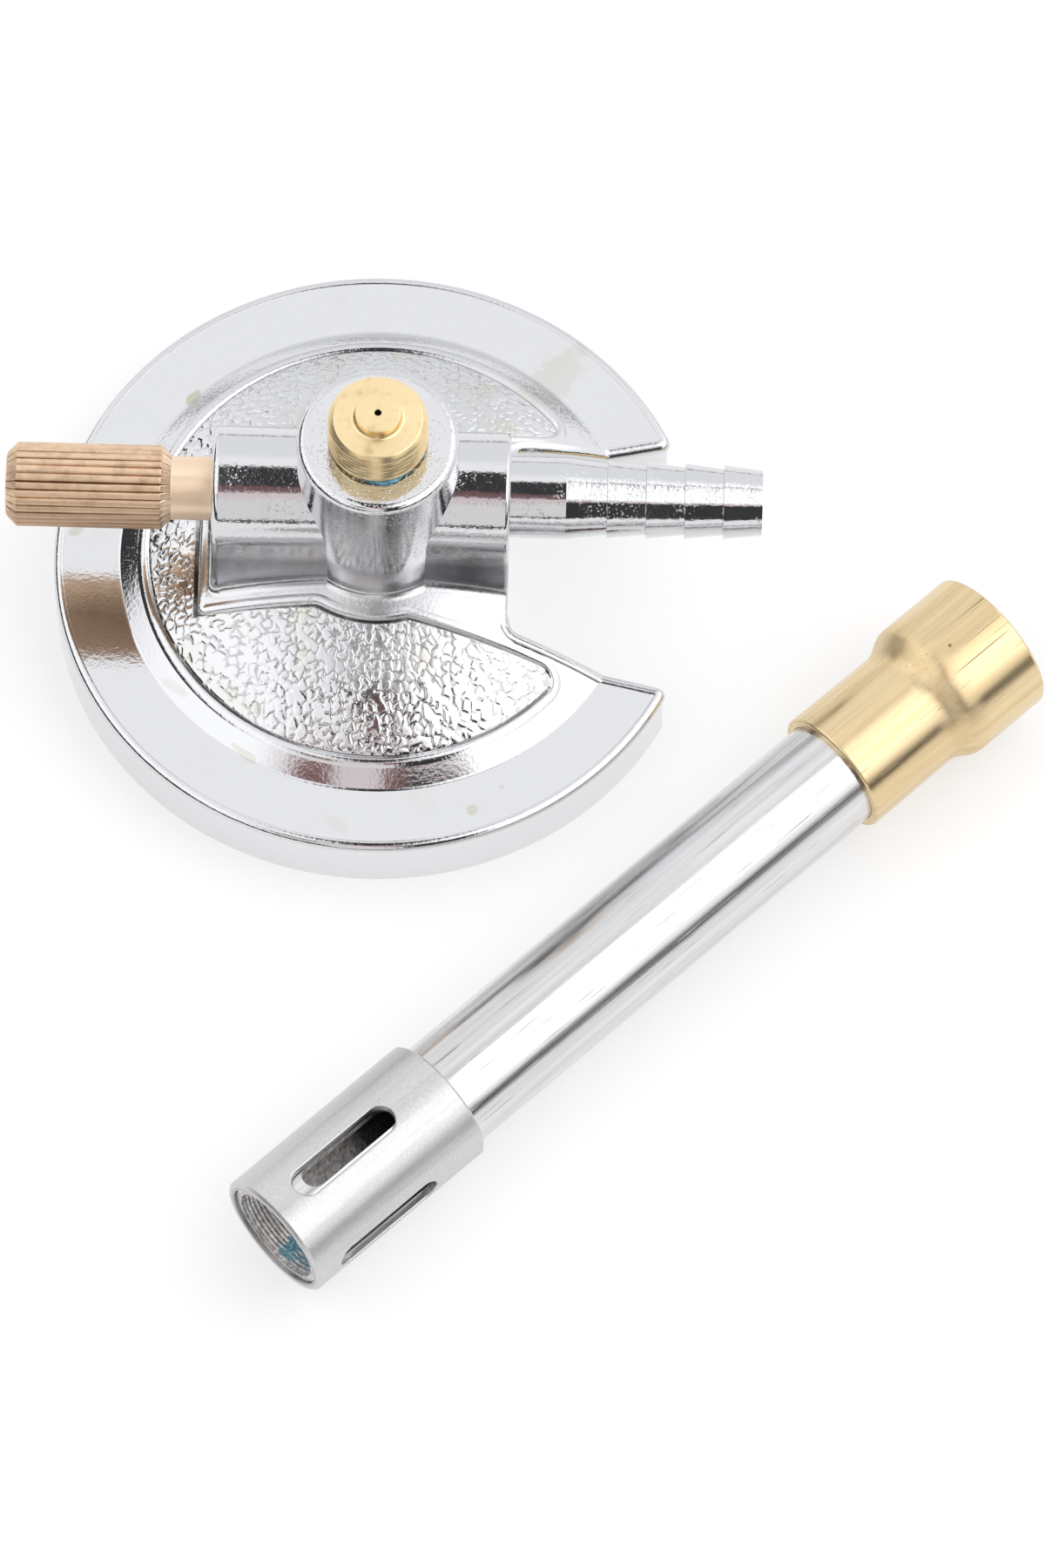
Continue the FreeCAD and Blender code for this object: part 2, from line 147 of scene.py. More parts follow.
base_chrome, tree, shader = chrome_plate("base_chrome")
place = node(tree, "ShaderNodeTexCoord", {}).outputs["Object"]
mark_turn, mark_height = 0.9, 0.004
mark = 0.0
for spot, length, width, strength in (
    ((-0.0225, 0.0209, 0.0079), 0.00125, 0.00065, 0.90),
    ((-0.0355, 0.0029, 0.0079), 0.00120, 0.00075, 0.60),
    ((0.0120, -0.0326, 0.0079), 0.00075, 0.00070, 0.55),
    ((0.0153, -0.0295, 0.0079), 0.00030, 0.00030, 0.40),
    ((0.0200, 0.0245, 0.0092), 0.00700, 0.00260, 0.30),
    ((-0.0148, -0.0262, 0.0083), 0.00050, 0.00210, 0.42),
    ((-0.0232, -0.0180, 0.0085), 0.00055, 0.00230, 0.30),
    ((-0.0037, -0.0348, 0.0079), 0.00090, 0.00150, 0.20),
):
    laid = {"Vector": place, "Location": spot, "Rotation": (0, 0, mark_turn)}
    laid["Scale"] = (length, width, mark_height)
    laid = node(tree, "ShaderNodeMapping", laid, vector_type="TEXTURE").outputs[0]
    away = node(tree, "ShaderNodeVectorMath", {0: laid}, operation="LENGTH").outputs["Value"]
    ragged = sums(tree, "ADD", away, spread(tree, noise(tree, place, 700.0, 4.0), 0.2, 0.8, -0.25, 0.25))
    mark = sums(tree, "MAXIMUM", mark, spread(tree, ragged, 1.1, 0.7, 0.0, strength))
cloud = spread(tree, noise(tree, place, 120.0, 5.0, 0.65), 0.54, 0.76, 0.0, 0.35)
plated = blended(tree, cloud, plate_colour, (0.64, 0.63, 0.58, 1))
plated = blended(tree, mark, plated, (0.52, 0.515, 0.41, 1))
axes = node(tree, "ShaderNodeSeparateXYZ", {"Vector": place}).outputs
# Painted light: the plate's colour is brighter on the foot's wall, below the ring's top.
painted_light_foot_wall = spread(tree, axes["Z"], 0.0074, 0.0067)
plated = blended(tree, painted_light_foot_wall, plated, (0.80, 0.805, 0.82, 1))
# Painted shade: a darker plate colour in a band low on the tower and the valve body, near their middle line.
painted_shade_skirt = spread(tree, sums(tree, "ABSOLUTE", axes["Y"], 0.0), 0.0086, 0.0080)
painted_shade_skirt = sums(tree, "MULTIPLY", painted_shade_skirt, band(tree, axes["Z"], 0.0150, 0.0165, 0.0205, 0.0225))
tree.links.new(blended(tree, painted_shade_skirt, plated, (0.44, 0.44, 0.46, 1)), shader.inputs["Base Color"])
solids["base_casting"].data.materials.clear()
solids["base_casting"].data.materials.append(base_chrome)


# Inside the dome's shallow recess the casting carries a leather grain: low pebbles about a millimetre apart,
# cast in one with the dome and plated with it. The valleys between them carry painted shade, heaviest towards
# the front, and the plate is dark along the recess's edge.

def skin(name, points, round_u, round_v):
    """A quad mesh over a grid of points in millimetres: each cell joins neighbours in u and v, and a round
    direction joins its last row to its first."""
    index = np.arange(points.shape[0] * points.shape[1]).reshape(points.shape[:2])
    if round_u:
        index = np.concatenate([index, index[:1]], 0)
    if round_v:
        index = np.concatenate([index, index[:, :1]], 1)
    quads = np.stack([index[:-1, :-1], index[1:, :-1], index[1:, 1:], index[:-1, 1:]], -1).reshape(-1, 4)
    mesh = bpy.data.meshes.new(name)
    mesh.from_pydata((points.reshape(-1, 3) * 0.001).tolist(), [], quads.tolist())
    mesh.validate()
    return mesh


def settled(mesh, material, body, sharp=40.0):
    """The finished piece of a mesh: points that meet are merged, edges sharper than an angle stay sharp,
    and it takes its material and the body it moves with."""
    work = bmesh.new()
    work.from_mesh(mesh)
    bmesh.ops.remove_doubles(work, verts=work.verts, dist=1e-7)
    work.to_mesh(mesh)
    work.free()
    mesh.shade_smooth()
    mesh.set_sharp_from_angle(angle=math.radians(sharp))
    mesh.materials.append(material)
    piece = bpy.data.objects.new(mesh.name, mesh)
    bpy.context.scene.collection.objects.link(piece)
    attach(piece, body)
    return piece


def recess_reach(share):
    """Where a ray from the tower's axis enters and leaves one half of the recess, in millimetres, at shares
    from the notch's side to the back of the knob. It enters past the tower, the valve body or the notch's
    border, whichever is furthest, and leaves at the ring, or at the rounded corner."""
    ring, tower, side, end, corner = 27.47, 11.98, 9.98, 20.68, 2.0
    flare, notch_start, notch_half, border_width = math.radians(12.6), 15.4, 11.85, 2.08
    slope = math.tan(flare)
    rise = notch_half + border_width / math.cos(flare) - notch_start * slope
    lift = rise + corner * math.hypot(1, slope)
    # the corner's centre lies corner away from the border's line and from the ring
    across = ring - corner
    half = (math.sqrt(across ** 2 * (1 + slope ** 2) - lift ** 2) - slope * lift) / (1 + slope ** 2)
    centre = np.array([half, lift + slope * half])
    touch = centre + corner * np.array([slope, -1]) / math.hypot(1, slope)
    first = math.atan2(centre[1], centre[0]) - math.asin(corner / across) + 1e-4
    turn = first + share * (math.pi - first)
    c, s = np.cos(turn), np.sin(turn)
    body = np.where(c < 0, np.minimum(side / np.maximum(s, 1e-6), end / np.maximum(-c, 1e-6)), 0)
    border = np.where(c > 0, rise / np.maximum(s - slope * c, 1e-3), 0)
    near = np.maximum(np.maximum(tower, body), border)
    along = c * centre[0] + s * centre[1]
    chord = np.sqrt(np.maximum(along ** 2 - across ** 2 + corner ** 2, 0))
    near = np.where(turn < math.atan2(touch[1], touch[0]), along - chord, near)
    far = np.where(turn < math.atan2(centre[1], centre[0]), along + chord, ring)
    return turn, near, far


def pebbles(x, y):
    """Leather grain: the plane is shared among scattered centres, one to each square of a lattice that waves
    have bent. A pebble is a low dome that falls away to a narrow valley where the second centre is as near as
    the first. Here and there the valley dies out and two pebbles run together."""
    spacing, squares, valley, flank = 1.12, 80, 0.09, 0.65
    waves, sway, merge = 7, 0.06, 0.13
    chance = np.random.default_rng(11)
    scatter = chance.uniform(0.1, 0.9, (squares, squares, 2))
    x, y = x / spacing + squares // 2, y / spacing + squares // 2
    u, v, joined = x, y, 0
    for _ in range(waves):
        heading, bend, join, p, q, r = chance.uniform(0, 2 * math.pi, 6)
        across = math.cos(heading) * x + math.sin(heading) * y
        u = u + sway * np.sin((2.5 + bend / 1.6) * across + p)
        v = v + sway * np.sin((2.5 + bend / 1.6) * across + q)
        joined = joined + merge * np.sin((2.2 + join / 3) * across + r)
    column, row = np.floor(u).astype(int), np.floor(v).astype(int)
    first, second = np.full(x.shape, 9.0), np.full(x.shape, 9.0)
    for i in (-2, -1, 0, 1, 2):
        for j in (-2, -1, 0, 1, 2):
            centre = scatter[column + i, row + j]
            away = np.hypot(column + i + centre[..., 0] - u, row + j + centre[..., 1] - v)
            second = np.minimum(second, np.maximum(first, away))
            first = np.minimum(first, away)
    inside = np.clip((second - first + np.maximum(joined, 0) - valley) / flank, 0, 1)
    return 1 - (1 - inside) ** 3, inside


grain_chrome, tree, shader = chrome_plate("grain_chrome")
depth = node(tree, "ShaderNodeAttribute", {}, attribute_name="valley").outputs["Fac"]
place = node(tree, "ShaderNodeTexCoord", {}).outputs["Object"]
tarnish = spread(tree, noise(tree, place, 150.0, 4.0, 0.6), 0.50, 0.72, 0.0, 0.6)
plated = blended(tree, tarnish, plate_colour, (0.64, 0.61, 0.50, 1))
axes = node(tree, "ShaderNodeSeparateXYZ", {"Vector": place}).outputs
# Painted shade: the deepest parts of the valleys are darkened, most towards the front.
valley = spread(tree, axes["Y"], 0.004, -0.004, 0.12, 0.48)
valley = sums(tree, "MULTIPLY", spread(tree, depth, 0.84, 1.0), valley)
plated = blended(tree, valley, plated, (0.20, 0.195, 0.18, 1))
foot = node(tree, "ShaderNodeAttribute", {}, attribute_name="foot").outputs["Fac"]
foot = sums(tree, "MULTIPLY", foot, spread(tree, noise(tree, place, 330.0, 4.0), 0.30, 0.55, 0.35, 0.95))
tree.links.new(blended(tree, foot, plated, (0.05, 0.048, 0.045, 1)), shader.inputs["Base Color"])
dome_radius, dome_rise, foot_height, recess_depth = 30.4, 9.8, 7.9, 0.4
dome_sphere = (dome_radius ** 2 + dome_rise ** 2) / (2 * dome_rise)
dome_centre = foot_height + dome_rise - dome_sphere
floor = dome_sphere - recess_depth
plain_border, plain_fade, dark_border, dark_fade = 0.60, 0.25, 0.74, 0.12
skin_lift, pebble_rise, edge_tuck = 0.015, 0.070, 0.3
recess_turn, recess_near, recess_far = recess_reach(np.linspace(0, 1, 500))
share = np.linspace(0, 1, 190)
width = (recess_far - recess_near)[:, None]
reach = recess_near[:, None] + share * width
edge_gap = np.minimum(share, 1 - share) * width
fade = np.clip((edge_gap - plain_border) / plain_fade, 0, 1)
dark_edge = np.clip((dark_border - edge_gap) / dark_fade, 0, 1)
for side, name in ((-1, "grain_front"), (1, "grain_back")):
    grain_x = reach * np.cos(recess_turn)[:, None]
    grain_y = side * reach * np.sin(recess_turn)[:, None]
    dome, inside = pebbles(grain_x, grain_y)
    normal = np.stack([grain_x, grain_y, np.sqrt(floor ** 2 - reach ** 2)], -1) / floor
    height = np.where(edge_gap < 1e-6, -edge_tuck, skin_lift + pebble_rise * dome * fade)
    grid = normal * (floor + height)[..., None] + np.array([0, 0, dome_centre])
    mesh = skin(name, grid[::-side], False, False)
    for key, value in (("valley", 1 - inside * fade), ("foot", dark_edge)):
        level = mesh.attributes.new(key, "FLOAT", "POINT")
        level.data.foreach_set("value", value[::-side].astype(np.float32).ravel())
    settled(mesh, grain_chrome, "base")


# A low rounded lip frames the recess, cast with the dome. It rolls over from the dome's face down into the
# recess and follows its outline round the ring, the notch, the tower and the valve body.

ring_side = np.stack([recess_far * np.cos(recess_turn), recess_far * np.sin(recess_turn)], -1)
body_side = np.stack([recess_near * np.cos(recess_turn), recess_near * np.sin(recess_turn)], -1)
front = np.array([1, -1])
loop = np.concatenate([ring_side * front, ring_side[::-1], body_side, body_side[::-1] * front])
walked = np.concatenate([[0], np.cumsum(np.linalg.norm(np.diff(loop, axis=0), axis=1))])
step = np.linspace(0, walked[-1], 1100, endpoint=False)
loop = np.stack([np.interp(step, walked, loop[:, 0]), np.interp(step, walked, loop[:, 1])], -1)
eased_over = 3
loop = sum(np.roll(loop, k, 0) for k in range(-eased_over, eased_over + 1)) / (2 * eased_over + 1)
ahead = np.roll(loop, -1, 0) - np.roll(loop, 1, 0)
ahead = ahead / np.linalg.norm(ahead, axis=1, keepdims=True)
outward = np.stack([-ahead[:, 1], ahead[:, 0]], -1)
lip_out = np.array([-0.44, -0.36, -0.26, -0.14, 0.0, 0.22, 0.50, 0.80, 0.95])
lip_up = np.array([-0.43, -0.36, -0.22, -0.05, 0.04, 0.08, 0.06, 0.0, -0.04])
plan = loop[:, None] + lip_out[None, :, None] * outward[:, None]
tall = np.sqrt(dome_sphere ** 2 - (plan ** 2).sum(-1))
normal = np.concatenate([plan, tall[..., None]], -1) / dome_sphere
grid = normal * (dome_sphere + lip_up)[..., None] + np.array([0, 0, dome_centre])
settled(skin("recess_lip", grid, True, False), base_chrome, "base")


# The foot's top edge is rolled to a soft round, along the ring and back along both sides of the notch, where
# it is broader. It is cast and plated with the base, stands a little proud of the ring's face and wall, and
# tapers away at its two inner ends.

foot_radius, notch_end, notch_rise, notch_slope = 38.0, 15.42, 8.408, 0.2235
ring_round, notch_extra = 0.9, 0.3
edge_tip = math.radians(25.07)
edge_turn = np.linspace(edge_tip, 2 * math.pi - edge_tip, 840)
edge_ring = foot_radius * np.stack([np.cos(edge_turn), np.sin(edge_turn)], -1)
edge_x = np.linspace(notch_end, edge_ring[0, 0], 80)[:-1]
edge_side = np.stack([edge_x, notch_rise + notch_slope * edge_x], -1)
edge_y = np.linspace(8.0, 11.6, 15)
edge_end = np.stack([np.full_like(edge_y, notch_end), edge_y], -1)
edge_side = np.concatenate([edge_end, edge_side])
path = np.concatenate([edge_side, edge_ring, edge_side[::-1] * front])
at_notch = np.ones(len(edge_side))
on_side = np.concatenate([at_notch, np.zeros(len(edge_ring)), at_notch])
path = np.concatenate([path, on_side[:, None]], 1)
eased_over = 6
padded = np.pad(path, ((eased_over, eased_over), (0, 0)), "reflect", reflect_type="odd")
path = sum(padded[k:k + len(path)] for k in range(2 * eased_over + 1)) / (2 * eased_over + 1)
ahead = np.gradient(path[:, :2], axis=0)
ahead = ahead / np.linalg.norm(ahead, axis=1, keepdims=True)
outward = np.stack([ahead[:, 1], -ahead[:, 0]], -1)
path_reach = np.minimum(np.hypot(path[:, 0], path[:, 1]), dome_radius)
path_top = np.sqrt(dome_sphere ** 2 - path_reach ** 2) + dome_centre
edge_round = ring_round + notch_extra * np.clip(path[:, 2:], 0, 1)
# the roll is wider than the casting's own small round, and has to stand out to cover it
cast_round, corner_share, clear = 0.5, 0.293, 0.003
proud = clear + corner_share * (edge_round - cast_round)
inset = edge_round - proud
bend = np.radians(np.linspace(90, 0, 11))
edge_out = np.concatenate([
    -inset - 0.24, -inset - 0.14, edge_round * np.cos(bend) - inset, proud - 0.03, np.full_like(inset, -0.05),
], 1)
edge_up = edge_out[:, ::-1]
walked = np.minimum(np.arange(len(path)), np.arange(len(path))[::-1])
taper_steps = 9
swell = np.clip(walked / taper_steps, 0, 1)[:, None]
edge_out = swell * (edge_out + inset) - inset
edge_up = swell * (edge_up + inset) - inset
plan = path[:, None, :2] + edge_out[..., None] * outward[:, None]
grid = np.concatenate([plan, (path_top[:, None] + edge_up)[..., None]], -1)
settled(skin("foot_edge", grid, False, False), base_chrome, "base")


# The jet is a turned brass nipple screwed into the tower: a fine outer thread for the barrel, a bevelled
# shoulder, and a low boss with the gas orifice in its middle. Its faces keep the rings of the lathe tool.

def eased(corners, cuts, steps=5):
    """A closed outline with eased corners: each corner gives way to a parabola that leaves its two sides
    at its cut from the corner."""
    corners, cuts = np.array(corners, float), np.array(cuts, float)[:, None]
    back = np.roll(corners, 1, 0) - corners
    ahead = np.roll(corners, -1, 0) - corners
    start = corners + cuts * back / np.linalg.norm(back, axis=1, keepdims=True)
    stop = corners + cuts * ahead / np.linalg.norm(ahead, axis=1, keepdims=True)
    t = np.linspace(0, 1, steps)[None, :, None]
    curve = (1 - t) ** 2 * start[:, None] + 2 * t * (1 - t) * corners[:, None] + t ** 2 * stop[:, None]
    return curve.reshape(-1, 2)


def turned(radius, station, angle, middle, along, start):
    """A turned surface: at each angle round the axis, the radius at each station along it."""
    middle, along, start = (np.array(v, float) for v in (middle, along, start))
    side = np.cross(along, start)
    spoke = np.cos(angle)[:, None, None] * start + np.sin(angle)[:, None, None] * side
    return middle + station[..., None] * along + radius[..., None] * spoke


def thread(station, angle, pitch, low, high, runout):
    """A right-hand thread as a depth from 0 at the crest to 1 at the root: a triangle wave that climbs one
    pitch per turn, and dies out within runout of its two ends."""
    phase = (station[None, :] / pitch - angle[:, None] / (2 * math.pi)) % 1
    ends = np.clip(np.minimum(station - low, high - station) / runout, 0, 1)
    return np.abs(2 * phase - 1) * ends[None, :]


jet_corners = [
    (5.8, 42.0), (5.15, 42.7), (2.64, 42.7), (2.64, 44.0), (0.4, 44.0), (0.4, 42.4), (2.4, 42.4),
    (2.4, 31.5), (4.0, 31.5), (4.5, 32.0), (4.5, 37.5), (5.3, 37.5), (5.3, 38.1), (5.8, 38.1),
]
jet_cuts = [0.10, 0.10, 0.55, 0.14, 0.10, 0.1, 0.1, 0.1, 0.1, 0.1, 0.1, 0.1, 0.05, 0.05]
jet_crest, jet_cut = 5.8, 0.30
jet_rows = np.linspace(38.16, 41.88, 64)
jet_rows = np.stack([np.full_like(jet_rows, jet_crest), jet_rows], -1)
jet_outline = np.concatenate([eased(jet_corners, jet_cuts), jet_rows])
jet_angle = np.linspace(0, 2 * math.pi, 144, endpoint=False)
jet_turns = thread(jet_outline[:, 1], jet_angle, pitch=0.75, low=38.1, high=42.05, runout=0.35)
jet_radius = jet_outline[None, :, 0] - np.where(jet_outline[None, :, 0] > 5.6, jet_cut * jet_turns, 0)
jet_station = np.broadcast_to(jet_outline[None, :, 1], jet_radius.shape)
points = turned(jet_radius, jet_station, jet_angle, (0, 0, 0), (0, 0, 1), (1, 0, 0))
mesh = skin("jet", points, True, True)
jet_brass, tree, shader = metal("jet_brass", (0.88, 0.67, 0.36, 1), 0.20)
place = node(tree, "ShaderNodeTexCoord", {}).outputs["Object"]
flat = node(tree, "ShaderNodeVectorMath", {0: place, 1: (1, 1, 0)}, operation="MULTIPLY").outputs[0]
radius = node(tree, "ShaderNodeVectorMath", {0: flat}, operation="LENGTH").outputs["Value"]
rings_per_metre = 9000.0
rings = {"W": sums(tree, "MULTIPLY", radius, rings_per_metre), "Scale": 1.0, "Detail": 2.0}
rings = node(tree, "ShaderNodeTexNoise", rings, noise_dimensions="1D").outputs["Fac"]
tree.links.new(bumped(tree, rings, 1.6e-5, strength=0.5), shader.inputs["Normal"])
tarnish = spread(tree, noise(tree, place, 420.0, 4.0), 0.50, 0.80)
tone = blended(tree, tarnish, (0.92, 0.73, 0.43, 1), (0.72, 0.51, 0.26, 1))
tree.links.new(tone, shader.inputs["Base Color"])
tree.links.new(spread(tree, rings, 0.2, 0.8, 0.22, 0.36), shader.inputs["Roughness"])
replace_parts(settled(mesh, jet_brass, "base"), "jet_nipple")


# A bead of blue thread sealant was squeezed out round the jet's foot when it was screwed in. It has cured
# to a thin, uneven, matt ring on the tower's top, fullest in front.

bead_angle = np.linspace(0, 2 * math.pi, 240, endpoint=False)
bead_round = np.linspace(0, 2 * math.pi, 20, endpoint=False)
chance = np.random.default_rng(5)
bead_uneven = sum(
    chance.uniform(0.3, 1.0) / k ** 0.6 * np.cos(k * bead_angle + chance.uniform(0, 6.28))
    for k in range(1, 26)
)
bead_uneven = 0.5 + 0.5 * np.tanh(bead_uneven / bead_uneven.std())
front_turn, crumb_turn = math.radians(280), math.radians(341)
bead_front = np.exp(-((bead_angle - front_turn) / 0.52) ** 2)
bead_crumb = 0.6 * np.exp(-((bead_angle - crumb_turn) / 0.10) ** 2)
bead_size = (0.35 + 0.65 * bead_uneven) * (bead_front + bead_crumb)
tower_top = 37.5
bead_middle = 5.15 + 0.57 * np.clip(2.5 * bead_size, 0, 1)
bead_width = 0.05 + 0.42 * bead_size
bead_tall = 0.04 + 0.26 * bead_size
bead_radius = bead_middle[:, None] + bead_width[:, None] * np.cos(bead_round)[None, :]
bead_station = tower_top + bead_tall[:, None] * (0.9 + np.sin(bead_round)[None, :])
points = turned(bead_radius, bead_station, bead_angle, (0, 0, 0), (0, 0, 1), (1, 0, 0))
mesh = skin("jet_bead", points, True, True)
sealant = bpy.data.materials.new("blue_sealant")
sealant.use_nodes = True
tree = sealant.node_tree
shader = tree.nodes["Principled BSDF"]
place = node(tree, "ShaderNodeTexCoord", {}).outputs["Object"]
flake = noise(tree, place, 2600.0, 4.0, 0.7)
shade = blended(tree, spread(tree, flake, 0.35, 0.68), (0.06, 0.22, 0.31, 1), (0.28, 0.56, 0.68, 1))
tree.links.new(shade, shader.inputs["Base Color"])
tree.links.new(spread(tree, flake, 0.3, 0.7, 0.45, 0.8), shader.inputs["Roughness"])
tree.links.new(bumped(tree, flake, 8e-5, strength=0.9), shader.inputs["Normal"])
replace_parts(settled(mesh, sealant, "base"), "jet_sealant")


# The needle valve is one turned bar of reddish brass that screws into the valve body: a straight-fluted grip
# with bevelled ends, a plain neck, the thread and the needle. The flutes hold old polish and dirt, and the
# grip's side towards the front and the table is painted darker as shade.

spindle_outline = eased(
    [(0.0, -43.2), (3.6, -43.2), (4.9, -41.9), (4.9, -25.2), (3.7, -24.0), (3.7, -16.69), (2.5, -16.69),
     (2.5, -15.32), (3.7, -15.32), (3.7, -13.0), (3.0, -13.0), (3.0, -6.5), (1.9, -6.5), (1.9, 0.53),
     (0.35, 3.93), (0.0, 3.93)],
    [0.0, 0.30, 0.12, 0.12, 0.05, 0.05, 0.05, 0.05, 0.05, 0.2, 0.05, 0.2, 0.1, 0.1, 0.1, 0.0],
)[4:-4]
grip_radius, screw_radius, grip_end, grip_length = 4.9, 3.0, -43.2, 19.2
for radius, first, last, count in ((grip_radius, -41.7, -25.4, 46), (screw_radius, -12.7, -6.75, 64)):
    rows = np.linspace(first, last, count)
    after = np.searchsorted(spindle_outline[:, 1], first - 0.05)
    spindle_outline = np.insert(spindle_outline, after, np.stack([np.full_like(rows, radius), rows], -1), 0)
flutes, columns, flute_cut, screw_cut = 30, 18, 0.40, 0.40
spindle_angle = np.linspace(0, 2 * math.pi, flutes * columns, endpoint=False)
chance = np.random.default_rng(3)
flute_depth = np.repeat(chance.uniform(0.55, 1.15, flutes), columns)
flute_lean = np.repeat(chance.normal(0, 0.10, flutes), columns)
flute_start = np.repeat(chance.uniform(0, 6, flutes), columns)
x = spindle_outline[None, :, 1]
wander = flute_lean[:, None] * np.sin((x - grip_end) / grip_length * 3.1 + flute_start[:, None])
ridge = np.abs(2 * ((np.arange(flutes * columns) % columns)[:, None] / columns) - 1 + wander)
ridge = np.clip(ridge, 0, 1) ** 3.6 * flute_depth[:, None]
in_grip = (x < -24.0) & (x > -43.21)
fluted = np.minimum(spindle_outline[None, :, 0], grip_radius - flute_cut * ridge)
spindle_radius = np.where(in_grip, fluted, spindle_outline[None, :, 0])
screw_turns = thread(spindle_outline[:, 1], spindle_angle, pitch=0.75, low=-12.9, high=-6.6, runout=0.5)
spindle_radius -= screw_cut * screw_turns
spindle_station = np.broadcast_to(x, spindle_radius.shape)
hub = joints["valve_turn"]["pos_m"]
points = turned(spindle_radius, spindle_station, spindle_angle, (0, 0, hub[2] * 1000), (1, 0, 0), (0, 0, 1))
mesh = skin("needle_valve", points, True, False)
dirt = mesh.attributes.new("flute", "FLOAT", "POINT")
dirt.data.foreach_set("value", np.where(in_grip, ridge, 0).astype(np.float32).ravel())
grip_brass, tree, shader = metal("grip_brass", (0.74, 0.50, 0.31, 1), 0.36)
place = node(tree, "ShaderNodeTexCoord", {}).outputs["Object"]
drawn = node(tree, "ShaderNodeMapping", {"Vector": place, "Scale": (260.0, 2600.0, 2600.0)}).outputs[0]
streak = node(tree, "ShaderNodeTexNoise", {"Vector": drawn, "Scale": 1.0, "Detail": 4.0}).outputs["Fac"]
deep = node(tree, "ShaderNodeAttribute", {}, attribute_name="flute").outputs["Fac"]
soil = sums(tree, "MULTIPLY", spread(tree, deep, 0.25, 0.95), spread(tree, streak, 0.22, 0.55, 0.25, 1.0))
bright = spread(tree, noise(tree, place, 700.0, 4.0), 0.4, 0.75)
bright = blended(tree, bright, (0.84, 0.62, 0.43, 1), (0.66, 0.46, 0.30, 1))
axes = node(tree, "ShaderNodeSeparateXYZ", {"Vector": place}).outputs
# Painted shade: the grip is darker on its side towards the front and the table.
low = sums(tree, "ADD", sums(tree, "MULTIPLY", axes["Y"], 0.9), sums(tree, "MULTIPLY", axes["Z"], 0.45))
bright = blended(tree, spread(tree, low, 0.0098, 0.0066, 0.0, 0.80), bright, (0.50, 0.335, 0.225, 1))
bright = blended(tree, spread(tree, axes["X"], -0.0252, -0.0246), bright, (0.97, 0.76, 0.56, 1))
tree.links.new(blended(tree, soil, bright, (0.16, 0.095, 0.055, 1)), shader.inputs["Base Color"])
dulled = spread(tree, soil, 0.0, 1.0, 0.0, 0.35)
dulled = sums(tree, "ADD", dulled, spread(tree, streak, 0.3, 0.7, 0.34, 0.48))
tree.links.new(dulled, shader.inputs["Roughness"])
tree.links.new(bumped(tree, streak, 3e-5, strength=0.6), shader.inputs["Normal"])
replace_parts(settled(mesh, grip_brass, "spindle", 50.0), "valve_spindle")


# The seal is a small moulded ring of black rubber. It sits in the groove of the valve's neck and keeps the
# gas inside the valve body.

rubber = bpy.data.materials.new("seal_rubber")
rubber.use_nodes = True
tree = rubber.node_tree
shader = tree.nodes["Principled BSDF"]
place = node(tree, "ShaderNodeTexCoord", {}).outputs["Object"]
bloom = noise(tree, place, 1800.0)
tone = blended(tree, bloom, (0.018, 0.018, 0.018, 1), (0.05, 0.05, 0.052, 1))
tree.links.new(tone, shader.inputs["Base Color"])
tree.links.new(spread(tree, bloom, 0.3, 0.7, 0.5, 0.75), shader.inputs["Roughness"])
solids["spindle_o_ring"].data.materials.clear()
solids["spindle_o_ring"].data.materials.append(rubber)


# The mixing tube is a length of drawn aluminium. It keeps the long streaks of the die and a few fine
# scratches, and four air ports are milled near its foot. Its bore is rough and stained, and painted dark past
# the ports as shade deep inside the tube.

barrel_along = Vector(joints["air_sleeve_turn"]["axis"]).normalized()
barrel_foot = Vector(joints["air_sleeve_turn"]["pos_m"])
barrel_side = Vector((0, 0, 1)).cross(barrel_along).normalized()
barrel_up = barrel_along.cross(barrel_side)
barrel_turn = Matrix((barrel_along, barrel_side, barrel_up)).transposed().to_euler()


def along_barrel(tree, long, wide):
    """Object coordinates laid along the barrel, so that a pattern on them is long by wide metres."""
    place = node(tree, "ShaderNodeTexCoord", {}).outputs["Object"]
    laid = {"Vector": place, "Location": barrel_foot, "Rotation": barrel_turn, "Scale": (long, wide, wide)}
    return node(tree, "ShaderNodeMapping", laid, vector_type="TEXTURE").outputs[0]


def lined(tree, long, wide, detail=3.0):
    """Streaks along the barrel, about long by wide metres each."""
    streaks = {"Vector": along_barrel(tree, long, wide), "Scale": 1.0, "Detail": detail, "Roughness": 0.6}
    return node(tree, "ShaderNodeTexNoise", streaks).outputs["Fac"]


def off_axis(tree):
    """The distance from the barrel's axis, in metres."""
    laid = along_barrel(tree, 1.0, 1.0)
    flat = node(tree, "ShaderNodeVectorMath", {0: laid, 1: (0, 1, 1)}, operation="MULTIPLY").outputs[0]
    return node(tree, "ShaderNodeVectorMath", {0: flat}, operation="LENGTH").outputs["Value"]


